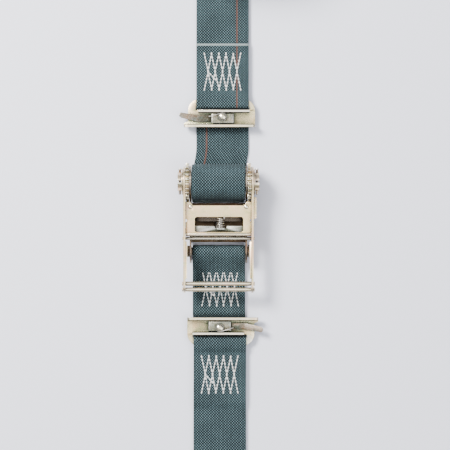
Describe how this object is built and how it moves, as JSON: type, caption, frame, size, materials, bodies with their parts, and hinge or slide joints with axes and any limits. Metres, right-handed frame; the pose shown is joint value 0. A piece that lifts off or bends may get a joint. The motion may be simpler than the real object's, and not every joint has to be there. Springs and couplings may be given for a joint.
{
  "type": "ratchet tie down strap",
  "caption": "Webbing ratchet tie down: stamped ratchet buckle with swing handle and spool, a fixed strap, a long adjustable strap and spring E-track end fittings.",
  "frame": {"origin": "centre of the underside of the ratchet frame's base plate, on the surface it lies on", "axes": "+Y along the strap, from the fixed strap towards the spool and the adjustable strap; +X along the spindle, to the right when seen from above with +Y up; +Z up, out of the surface"},
  "size_m": [0.0823, 0.6375, 0.1045],
  "materials": {
    "yellow_zinc": "yellow-passivated zinc plate over stamped steel, satin with green and pink tints",
    "pale_zinc": "pale zinc plate, satin",
    "brass_nut": "brass-toned plated nut",
    "spring_steel": "dark drawn spring wire",
    "webbing": "woven polyester webbing, grey-teal",
    "tie_band": "woven storage band, black"
  },
  "bodies": {
    "frame": {"base_frame": "yellow_zinc", "strap_pin": "pale_zinc", "strap_pin_nut": "brass_nut", "lock_pawl_spring": "spring_steel", "adjustable_strap_lead": "webbing", "adjustable_strap_end": "webbing", "adjustable_strap_tail": "webbing", "strap_roll": "webbing", "roll_tie": "tie_band", "fixed_strap_pin_loop": "webbing", "fixed_strap_run": "webbing", "fixed_strap_fold": "webbing", "fixed_strap_tail": "webbing", "fixed_strap_return": "webbing"},
    "spool": {"spindle_half_front": "yellow_zinc", "spindle_half_rear": "yellow_zinc", "ratchet_wheel_left": "pale_zinc", "ratchet_wheel_right": "pale_zinc", "spindle_pin_left": "spring_steel", "spindle_pin_right": "spring_steel", "webbing_on_spool": "webbing"},
    "handle": {"handle_arm_left": "yellow_zinc", "handle_arm_right": "yellow_zinc", "handle_cross_plate": "pale_zinc", "tie_rod": "pale_zinc", "grip_rod_inner": "yellow_zinc", "grip_rod_outer": "yellow_zinc", "spindle_washer_left": "yellow_zinc", "spindle_washer_right": "yellow_zinc", "drive_pawl_spring": "spring_steel"},
    "drive_pawl": {"drive_pawl": "yellow_zinc", "drive_pawl_rivet_left": "pale_zinc", "drive_pawl_rivet_right": "pale_zinc"},
    "lock_pawl": {"lock_pawl": "pale_zinc"},
    "upper_fitting": {"upper_fitting_body": "yellow_zinc", "upper_keeper": "yellow_zinc", "upper_rivet": "pale_zinc", "upper_latch_spring": "spring_steel", "upper_strap_loop": "webbing"},
    "upper_latch": {"upper_latch": "yellow_zinc"},
    "lower_fitting": {"lower_fitting_body": "yellow_zinc", "lower_keeper": "yellow_zinc", "lower_rivet": "pale_zinc", "lower_latch_spring": "spring_steel", "lower_strap_loop": "webbing"},
    "lower_latch": {"lower_latch": "yellow_zinc"}
  },
  "joints": [
    {"name": "spool_turn", "type": "hinge", "parent": "frame", "child": "spool", "pos_m": [0, 0.04, 0.021], "axis": [1, 0, 0], "continuous": true},
    {"name": "handle_swing", "type": "hinge", "parent": "frame", "child": "handle", "pos_m": [0, 0.04, 0.021], "axis": [-1, 0, 0], "range_deg": [0, 150]},
    {"name": "drive_pawl_slide", "type": "slide", "parent": "handle", "child": "drive_pawl", "axis": [0, 1, 0], "range_m": [-0.0045, 0.002], "stiffness_N_per_m": 300, "deforming": ["drive_pawl_spring"]},
    {"name": "lock_pawl_slide", "type": "slide", "parent": "frame", "child": "lock_pawl", "axis": [0, 1, 0], "range_m": [-0.0045, 0.002], "stiffness_N_per_m": 300, "deforming": ["lock_pawl_spring"]},
    {"name": "upper_fitting_swing", "type": "hinge", "parent": "frame", "child": "upper_fitting", "pos_m": [0.0039, 0.1261, 0.0063], "axis": [-1, 0, 0], "range_deg": [0, 75]},
    {"name": "upper_latch_pivot", "type": "hinge", "parent": "upper_fitting", "child": "upper_latch", "pos_m": [0.0039, 0.1029, 0.0074], "axis": [0, 0, 1], "range_deg": [-5, 1.5], "stiffness_Nm_per_rad": 0.05, "deforming": ["upper_latch_spring"]},
    {"name": "lower_fitting_swing", "type": "hinge", "parent": "frame", "child": "lower_fitting", "pos_m": [0.0012, -0.1241, 0.0063], "axis": [1, 0, 0], "range_deg": [0, 75]},
    {"name": "lower_latch_pivot", "type": "hinge", "parent": "lower_fitting", "child": "lower_latch", "pos_m": [0.0012, -0.1009, 0.0074], "axis": [0, 0, 1], "range_deg": [-5, 1.5], "stiffness_Nm_per_rad": 0.05, "deforming": ["lower_latch_spring"]}
  ]
}
